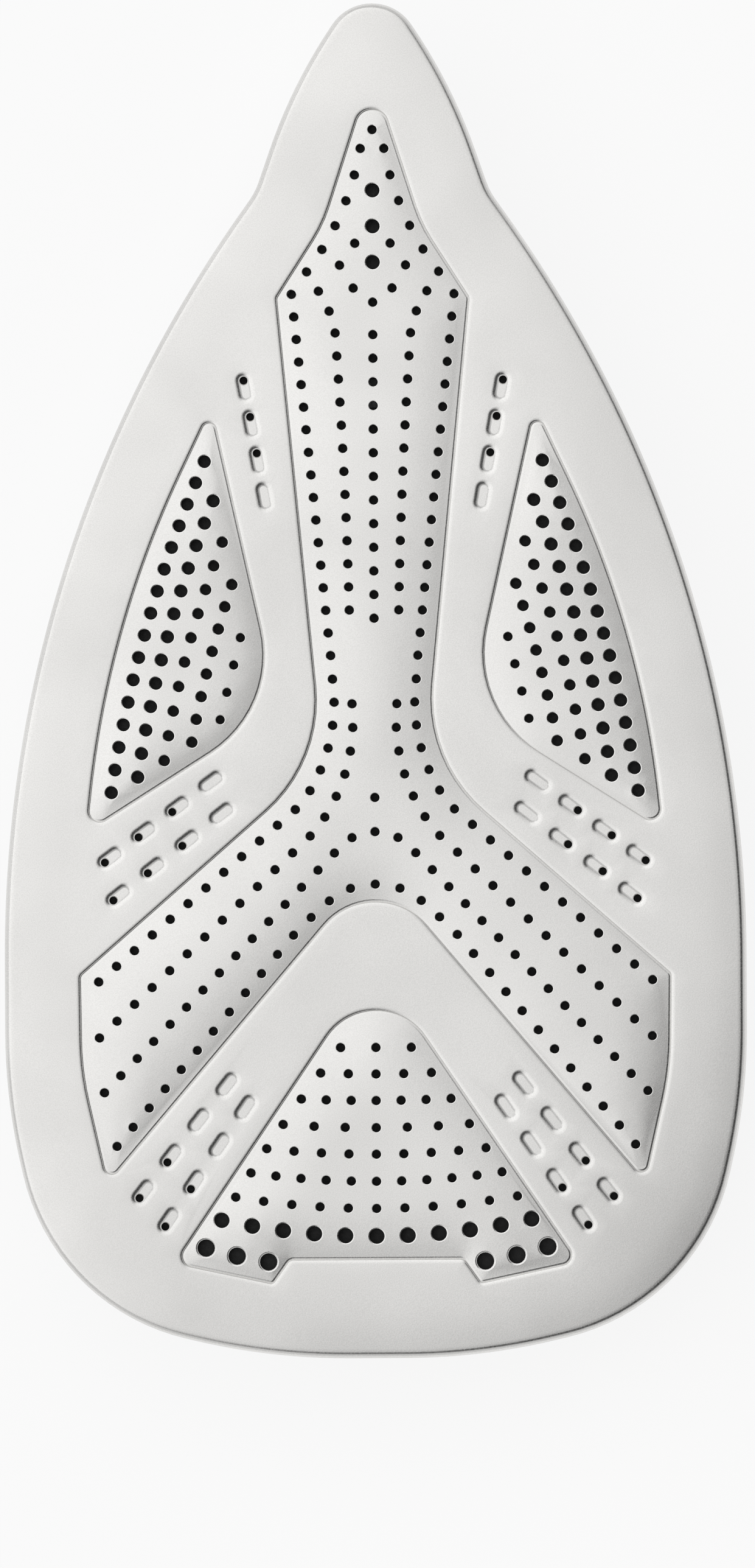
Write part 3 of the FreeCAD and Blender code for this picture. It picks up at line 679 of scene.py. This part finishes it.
# %% Profiles of the bands
STEP = [  # inset and drop, mm
    (-0.6, 0.0), (-0.4, 0.006), (-0.22, 0.022), (-0.08, 0.05), (0.02, 0.085), (0.09, 0.13), (0.13, 0.185),
    (0.235, 0.63), (0.38, 0.64), (0.58, FACE_Z - FLOOR_Z),
]
EDGE_R, EDGE_STEPS, EDGE_LEAD = 1.2, 9, 0.5
SHEET, HEM, HEM_Z, HEM_R, HEM_STEPS = 0.9, 2.0, 20.0, 0.4, 4
EDGE_BEVEL = 0.65

edge = [(EDGE_R + EDGE_LEAD, FACE_Z)]
edge += [(EDGE_R * (1 - math.sin(t)), FACE_Z - EDGE_R * (1 - math.cos(t)))
         for t in [math.pi / 2 * k / EDGE_STEPS for k in range(EDGE_STEPS + 1)]]
edge += [(HEM_R * (1 - math.cos(t)), HEM_Z + HEM_R * (1 - math.sin(t)))
         for t in [math.pi / 2 * k / HEM_STEPS for k in range(HEM_STEPS + 1)]]
edge += [(HEM, HEM_Z), (HEM, HEM_Z + SHEET), (SHEET, HEM_Z + SHEET), (SHEET, BACK_Z - EDGE_BEVEL),
         (SHEET + EDGE_BEVEL, BACK_Z)]
print("rings of a step:", len(STEP), "rings of the edge:", len(edge))

# %% Loops of the dimples and of the holes through the back
def turned_dimple(x, y, lean):
    """Outline of one dimple in its place."""
    c, s = math.cos(lean), math.sin(lean)
    return [Vector((x + p.x * c - p.y * s, y + p.x * s + p.y * c)) for p in dimple_loop(0.0)]


outlet_angles = dimple_things[True][1]
dimple_loops = [turned_dimple(*spot) for spots in placed.values() for spot in spots]
back_holes = [circle(x, y, r) for x, y, r in perforations]
for x, y, lean in placed[True]:
    outlet = Vector((x + OUTLET_PLACE * math.cos(lean), y + OUTLET_PLACE * math.sin(lean)))
    back_holes.append(circle(*outlet, OUTLET_R, [lean + t for t in outlet_angles]))
print("dimples in the face:", len(dimple_loops), "holes through the back:", len(back_holes))

# %% [markdown]
# ## The skin as one closed sheet
# The real skin is one piece of sheet. Its parts could stay separate, and would look the same from the front,
# but the flat sheets, rims, dimples and bands meet at the same points, so merging them gives one closed
# body. An edge with other than two faces would be a gap or a stray wall, so such edges are counted.

# %% Join and close the skin
LAND_SPACING, PANEL_SPACING = 2.4, 1.5
WELD = 0.0015


def band(bm, line, profile):
    """Faces between the outline's copies at each inset and height of a profile."""
    join_rings(bm, [[bm.verts.new(Vector((*p, z)) * MM) for p in ring(line, inset)] for inset, z in profile])


bm = bmesh.new()
for mesh in repeated:
    bm.from_mesh(mesh)
    bpy.data.meshes.remove(mesh)
panel_edges = [ring(line, STEP[0][0]) for line in panel_lines]
panel_floors = [ring(line, STEP[-1][0]) for line in panel_lines]
punched = [circle(x, y, r * HOLE_GROWTH) for x, y, r in perforations]
counts = [
    flat_sheet(bm, [ring(sole_line, edge[0][0])] + panel_edges + dimple_loops, FACE_Z, LAND_SPACING),
    flat_sheet(bm, panel_floors + punched, FLOOR_Z, PANEL_SPACING),
    flat_sheet(bm, [ring(sole_line, edge[-1][0])] + back_holes, BACK_Z, LAND_SPACING),
]
for line in panel_lines:
    band(bm, line, [(inset, FACE_Z - drop) for inset, drop in STEP])
band(bm, sole_line, edge)
bmesh.ops.remove_doubles(bm, verts=bm.verts, dist=WELD * MM)
bmesh.ops.recalc_face_normals(bm, faces=bm.faces)
open_edges = [e for e in bm.edges if len(e.link_faces) != 2]
print("flat faces:", counts, "skin faces:", len(bm.faces), "open edges:", len(open_edges))

# %% [markdown]
# ## Crown of the pressing
# A pressed sheet is never flat. Each panel is lowest along its border and swells by about half a millimetre
# towards its middle, and the land falls away towards the skin's edge, most of all at the heel, with a soft
# dip in the last few millimetres. These slopes are only a few degrees, but satin metal shows them as broad
# soft shades. They could be sculpted. Here the distance to the nearest border gives them, and the crown is
# averaged over a few millimetres, because two borders would otherwise meet in a ridge.
# Both surfaces of the sheet take the crown. Only the front takes the fall: the back lies on the casting.

# %% Nearest borders
BORDER_STEP = 0.4


def border_tree(lines):
    """Close points along some outlines for finding the nearest, with inward direction and outline."""
    spots = []
    for which, line in enumerate(lines):
        for (p, n), (q, m) in zip(line, line[1:] + line[:1]):
            parts = max(1, math.ceil((q - p).length / BORDER_STEP))
            spots += [(p.lerp(q, k / parts), n.lerp(m, k / parts), which) for k in range(parts)]
    found = KDTree(len(spots))
    for i, (p, _, _) in enumerate(spots):
        found.insert((p.x, p.y, 0), i)
    found.balance()
    return found, [spot[1:] for spot in spots]


panel_borders, panel_facts = border_tree(panel_lines)
skin_border, edge_facts = border_tree([sole_line])
print("points along the panels:", len(panel_facts), "along the edge:", len(edge_facts))

# %% Height of the crown and of the fall
PANEL_CROWNS, PANEL_REACHES = (0.52, 0.56, 0.56, 0.56), (10.0, 10.0, 7.8, 7.8)
CROWN_BLUR, BLUR_SHARE = 3.0, 0.6
EDGE_FALL, HEEL_FALL, FALL_REACH = 0.06, 0.52, 21.0
EDGE_DIP, DIP_REACH = 0.12, 7.0
HEEL_FROM, HEEL_TO = -35.0, -105.0  # along the sole, where the heel's fall starts and is complete


def panel_crown(x, y):
    """How far the crown lifts a place, in mm: nothing outside the panels."""
    near, i, away = panel_borders.find((x, y, 0))
    inward, which = panel_facts[i]
    inside = (x - near.x) * inward.x + (y - near.y) * inward.y > 0
    return PANEL_CROWNS[which] * (1 - (1 - min(away / PANEL_REACHES[which], 1)) ** 2) * inside


def soft_crown(x, y):
    """The crown's mean over a circle round a place, small enough to stay inside the panel."""
    blur = min(panel_borders.find((x, y, 0))[2] * BLUR_SHARE, CROWN_BLUR)
    return sum(panel_crown(x + blur * math.cos(t), y + blur * math.sin(t)) for t in EVENLY) / HOLE_SIDES


def edge_fall(y, away):
    """How far the land lies below flat, in mm, at a distance from the skin's edge."""
    heel = min(max((HEEL_FROM - y) / (HEEL_FROM - HEEL_TO), 0), 1)
    fall = EDGE_FALL + (HEEL_FALL - EDGE_FALL) * heel * heel * (3 - 2 * heel)
    fall *= (1 - min(away / FALL_REACH, 1)) ** 2
    return fall + EDGE_DIP * (1 - min(away / DIP_REACH, 1)) ** 2


print("fall at the side and at the heel, mm:", edge_fall(0.0, 0.0), edge_fall(HEEL_TO, 0.0))

# %% Mark the folds and bend the sheet
FLANGE_TOP, FLANGE_LOW = 26.0, 21.0
FLAT = 0.9999
EASE, BEND = math.radians(7), math.radians(38)  # sharp from here on: beside a flat face, and elsewhere

for e in bm.edges:
    flat = [f.normal.z > FLAT for f in e.link_faces]
    e.smooth = e.calc_face_angle(0) < (BEND if flat[0] == flat[-1] else EASE)
for v in bm.verts:
    x, y, z = v.co / MM
    if panel_crown(x, y):
        v.co.z += soft_crown(x, y) * MM
    away = skin_border.find((x, y, 0))[2]
    if z > BACK_Z + 2 * CLOSE or away < SHEET / 2:
        share = min(max((z - FLANGE_LOW) / (FLANGE_TOP - FLANGE_LOW), 0), 1)
        v.co.z -= share * edge_fall(y, away) * MM
print("sharp edges:", sum(not e.smooth for e in bm.edges))

# %% The finished skin
for f in bm.faces:
    f.smooth, f.material_index = True, 0
skin_mesh = bpy.data.meshes.new("sole_skin_sheet")
bm.to_mesh(skin_mesh)
print("skin volume, mm3:", round(bm.calc_volume() / MM ** 3))
bm.free()
skin_mesh.materials.append(stainless)
skin = bpy.data.objects.new("sole_skin_sheet", skin_mesh)
scene.collection.objects.link(skin)
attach(skin, "root")
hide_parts("sole_skin")

# %% [markdown]
# ## Cast aluminium
# The body is pressure-cast aluminium, left as it comes from the die: a matt light grey with faint flow marks
# a few centimetres long and a fine sandy skin. Above a height, where the steam galleries on its upper side
# lie under the skin, it is painted near black and not metallic: painted shade, which is why the holes look
# black.
# The CAD mesh has one slot, so the painted shade isn't a second material: it starts at a height.

# %% Die-cast aluminium with painted shade in its galleries
FLOW_MM, SAND_MM = 22, 0.5
PAINTED_SHADE_FROM, PAINTED_SHADE_TO = 24.6, 24.7

cast, tree, shader, place = new_finish("die_cast_aluminium")
flow = node(tree, "ShaderNodeTexNoise", {
    "Vector": place, "Scale": per(FLOW_MM), "Detail": 3.0, "Distortion": 1.2})
shade = node(tree, "ShaderNodeValToRGB", {"Fac": flow.outputs["Fac"]})
for stop, colour, where in zip(shade.color_ramp.elements, ("#9ea1a3", "#bfc1c2"), (0.3, 0.7)):
    stop.color, stop.position = linear(colour), where
height = node(tree, "ShaderNodeSeparateXYZ", {"Vector": place}).outputs["Z"]
# painted shade: above this height the casting is near black and not metallic, standing in for the shade
# under the skin
painted_shade = node(tree, "ShaderNodeMapRange", {
    "Value": height, "From Min": PAINTED_SHADE_FROM * MM, "From Max": PAINTED_SHADE_TO * MM}).outputs[0]
with_painted_shade = node(tree, "ShaderNodeMix", {
    "Factor": painted_shade, 6: shade.outputs[0], 7: linear("#0e0e0e")}, data_type="RGBA")
metal_share = node(tree, "ShaderNodeMapRange", {"Value": painted_shade, "To Min": 1.0, "To Max": 0.0})
sand = node(tree, "ShaderNodeTexNoise", {
    "Vector": place, "Scale": per(SAND_MM), "Detail": 4.0, "Roughness": 0.65}).outputs["Fac"]
dull = node(tree, "ShaderNodeMapRange", {"Value": sand, "To Min": 0.42, "To Max": 0.66})
bump = node(tree, "ShaderNodeBump", {"Height": sand, "Strength": 0.6, "Distance": 0.06 * MM})
fill(tree, shader, {"Base Color": with_painted_shade.outputs[2], "Metallic": metal_share.outputs[0],
                    "Roughness": dull.outputs[0], "Normal": bump.outputs[0]})
print("finish:", cast.name)

# %% [markdown]
# ## Bright metals
# The small metal pieces differ in colour and in how they were rolled or plated: nickel on the heater's
# pins and blades, zinc on the screws, tin on the earth tab, mill-finished aluminium on the chamber cover,
# bright strip on the clip and a drawn can on the fuse. All of them show fine lines along one direction,
# so one function draws stretched noise, and the spacing and strength of the lines tell them apart.

# %% Plated, rolled and drawn metals
BLOTCH_MM, DULL_SPREAD = 5, 0.08


def drawn_metal(name, dark, light, roughness, line_mm, stretch, relief_mm):
    """Metal with fine lines along X: two shades, mean roughness, the lines' spacing, length and depth."""
    material, tree, shader, place = new_finish(name)
    long = node(tree, "ShaderNodeMapping", {"Vector": place, "Scale": (1 / stretch, 1.0, 1.0)})
    lines = node(tree, "ShaderNodeTexNoise", {
        "Vector": long.outputs[0], "Scale": per(line_mm), "Detail": 3.0}).outputs["Fac"]
    cloud = node(tree, "ShaderNodeTexNoise", {"Vector": place, "Scale": per(BLOTCH_MM), "Detail": 2.0})
    shade = node(tree, "ShaderNodeValToRGB", {"Fac": cloud.outputs["Fac"]})
    for stop, colour, where in zip(shade.color_ramp.elements, (dark, light), (0.3, 0.7)):
        stop.color, stop.position = linear(colour), where
    dull = node(tree, "ShaderNodeMapRange", {
        "Value": lines, "From Min": 0.3, "From Max": 0.7,
        "To Min": roughness - DULL_SPREAD, "To Max": roughness + DULL_SPREAD})
    bump = node(tree, "ShaderNodeBump", {"Height": lines, "Strength": 0.5, "Distance": relief_mm * MM})
    fill(tree, shader, {"Metallic": 1.0, "Base Color": shade.outputs[0], "Roughness": dull.outputs[0],
                        "Normal": bump.outputs[0]})
    return material


nickel = drawn_metal("nickel_plated_steel", "#b3b0a8", "#d2cfc6", 0.24, 0.4, 6, 0.006)
zinc = drawn_metal("zinc_plated_steel", "#a9adb3", "#c9ccce", 0.3, 0.3, 2, 0.008)
tin = drawn_metal("tin_plated_brass", "#bdb59c", "#d6d0bd", 0.34, 0.4, 5, 0.008)
mill = drawn_metal("mill_finished_aluminium", "#b4b7b9", "#cfd1d2", 0.36, 0.35, 30, 0.012)
strip = drawn_metal("bright_spring_strip", "#8f9193", "#b2b4b6", 0.26, 0.3, 14, 0.006)
can = drawn_metal("drawn_aluminium_can", "#c4c5c6", "#dcddde", 0.28, 0.35, 10, 0.008)
print("finishes:", [m.name for m in (nickel, zinc, tin, mill, strip, can)])

# %% [markdown]
# ## Heater sheath
# The rod's steel sheath was soldered shut in a furnace and works red hot inside, so it is dull and
# tinted: brown and slate oxide colours that drift along it over about a centimetre. One brown would look
# like paint, so slow noise runs through three of these colours.

# %% Heat-darkened steel
DRIFT_MM, SCALE_MM = 9, 0.6

sheath, tree, shader, place = new_finish("oxidised_sheath_steel")
drift = node(tree, "ShaderNodeTexNoise", {
    "Vector": place, "Scale": per(DRIFT_MM), "Detail": 3.0, "Distortion": 0.6})
tint = node(tree, "ShaderNodeValToRGB", {"Fac": drift.outputs["Fac"]})
oxides = {0.3: "#5d5a5c", 0.5: "#776a5c", 0.72: "#8b8176"}
tint.color_ramp.elements.new(0.5)
for stop, (where, colour) in zip(tint.color_ramp.elements, oxides.items()):
    stop.color, stop.position = linear(colour), where
scale = node(tree, "ShaderNodeTexNoise", {
    "Vector": place, "Scale": per(SCALE_MM), "Detail": 4.0}).outputs["Fac"]
dull = node(tree, "ShaderNodeMapRange", {"Value": scale, "To Min": 0.35, "To Max": 0.6})
bump = node(tree, "ShaderNodeBump", {"Height": scale, "Strength": 0.5, "Distance": 0.02 * MM})
fill(tree, shader, {"Metallic": 1.0, "Base Color": tint.outputs[0], "Roughness": dull.outputs[0],
                    "Normal": bump.outputs[0]})
print("finish:", sheath.name)

# %% [markdown]
# ## Steatite and silicone
# The beads that close the heater are unglazed steatite, a chalky off-white ceramic with fine grey specks.
# The seals are brick-red silicone rubber, matt, with a bloom of paler dust. Both could be one plain colour
# each, but specks and bloom are what tell a fired and a moulded surface from paint.

# %% Unglazed steatite
SPECK_MM = 0.5

steatite, tree, shader, place = new_finish("unglazed_steatite")
specks = node(tree, "ShaderNodeTexNoise", {
    "Vector": place, "Scale": per(SPECK_MM), "Detail": 3.0, "Roughness": 0.7}).outputs["Fac"]
shade = node(tree, "ShaderNodeValToRGB", {"Fac": specks})
for stop, colour, where in zip(shade.color_ramp.elements, ("#c9c0b0", "#ebe5d8"), (0.32, 0.5)):
    stop.color, stop.position = linear(colour), where
bump = node(tree, "ShaderNodeBump", {"Height": specks, "Strength": 0.4, "Distance": 0.03 * MM})
fill(tree, shader, {"Base Color": shade.outputs[0], "Roughness": 0.72, "Normal": bump.outputs[0]})
print("finish:", steatite.name)

# %% Brick-red silicone
BLOOM_MM, PORE_MM = 6, 0.4

silicone, tree, shader, place = new_finish("brick_red_silicone")
bloom = node(tree, "ShaderNodeTexNoise", {
    "Vector": place, "Scale": per(BLOOM_MM), "Detail": 5.0, "Roughness": 0.65}).outputs["Fac"]
shade = node(tree, "ShaderNodeValToRGB", {"Fac": bloom})
for stop, colour, where in zip(shade.color_ramp.elements, ("#8e3a2b", "#a9513f"), (0.35, 0.7)):
    stop.color, stop.position = linear(colour), where
dull = node(tree, "ShaderNodeMapRange", {"Value": bloom, "To Min": 0.48, "To Max": 0.72})
pores = node(tree, "ShaderNodeTexNoise", {"Vector": place, "Scale": per(PORE_MM), "Detail": 2.0})
bump = node(tree, "ShaderNodeBump", {
    "Height": pores.outputs["Fac"], "Strength": 0.2, "Distance": 0.02 * MM})
fill(tree, shader, {"IOR": 1.41, "Base Color": shade.outputs[0], "Roughness": dull.outputs[0],
                    "Normal": bump.outputs[0]})
print("finish:", silicone.name)

# %% [markdown]
# ## Glass-fibre braid
# The fuse wears a sleeve of varnished glass-fibre braid: two sets of threads, about a millimetre wide, that
# wind round the tube in opposite directions and cross. Each thread could be a curve, but the sleeve is small
# and is seen only from below, so two sine waves along the two directions draw the weave and its relief.

# %% Glass-fibre braid round the fuse
THREADS_ROUND, THREAD_MM = 12, 1.1

braid, tree, shader, place = new_finish("varnished_glass_fibre_braid")
low, high = (Vector(p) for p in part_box("fuse_sleeve"))
local = node(tree, "ShaderNodeVectorMath", {0: place, 1: (low + high) / 2}, operation="SUBTRACT")
axis = node(tree, "ShaderNodeSeparateXYZ", {"Vector": local.outputs[0]}).outputs
turn = node(tree, "ShaderNodeMath", {0: axis["Y"], 1: axis["Z"]}, operation="ARCTAN2")
along = node(tree, "ShaderNodeMath", {
    0: axis["X"], 1: 2 * math.pi * per(THREAD_MM * 2)}, operation="MULTIPLY")
threads = []
for way in (THREADS_ROUND, -THREADS_ROUND):
    phase = node(tree, "ShaderNodeMath", {
        0: turn.outputs[0], 1: way, 2: along.outputs[0]}, operation="MULTIPLY_ADD")
    threads.append(node(tree, "ShaderNodeMath", {0: phase.outputs[0]}, operation="SINE").outputs[0])
crossing = node(tree, "ShaderNodeMath", {0: threads[0], 1: threads[1]}, operation="MULTIPLY")
relief = node(tree, "ShaderNodeMapRange", {
    "Value": crossing.outputs[0], "From Min": -1.0, "From Max": 1.0}).outputs[0]
shade = node(tree, "ShaderNodeValToRGB", {"Fac": relief})
for stop, colour, where in zip(shade.color_ramp.elements, ("#b8b09c", "#e6e0d0"), (0.15, 0.7)):
    stop.color, stop.position = linear(colour), where
bump = node(tree, "ShaderNodeBump", {"Height": relief, "Strength": 0.8, "Distance": 0.12 * MM})
fill(tree, shader, {"Base Color": shade.outputs[0], "Roughness": 0.45, "Normal": bump.outputs[0]})
print("finish:", braid.name)

# %% [markdown]
# ## Finishes on the CAD's own pieces
# The pieces behind the skin have their right shapes in the CAD, so they stay and only get a finish.
# A new slot could be added to each, but its faces already belong to the slots that it has,
# so the finish goes into those.

# %% Give each CAD node its finish
finishes = {
    "plate_casting": cast, "heater_rod": sheath, "chamber_cover": mill, "chamber_seal": silicone,
    "water_inlet_seal": silicone, "boost_inlet_seal": silicone, "cover_screws": zinc, "earth_screw": zinc,
    "fuse_clip_screw": zinc, "earth_tab": tin, "thermal_fuse": can, "fuse_sleeve": braid, "fuse_clip": strip,
}
for hand in ("left", "right"):
    finishes["heater_pin_" + hand] = nickel
    finishes["heater_blade_" + hand] = nickel
    finishes["heater_bead_" + hand] = steatite
for name, finish in finishes.items():
    for material_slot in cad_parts[name].material_slots:
        material_slot.material = finish
print("dressed nodes:", len(finishes))
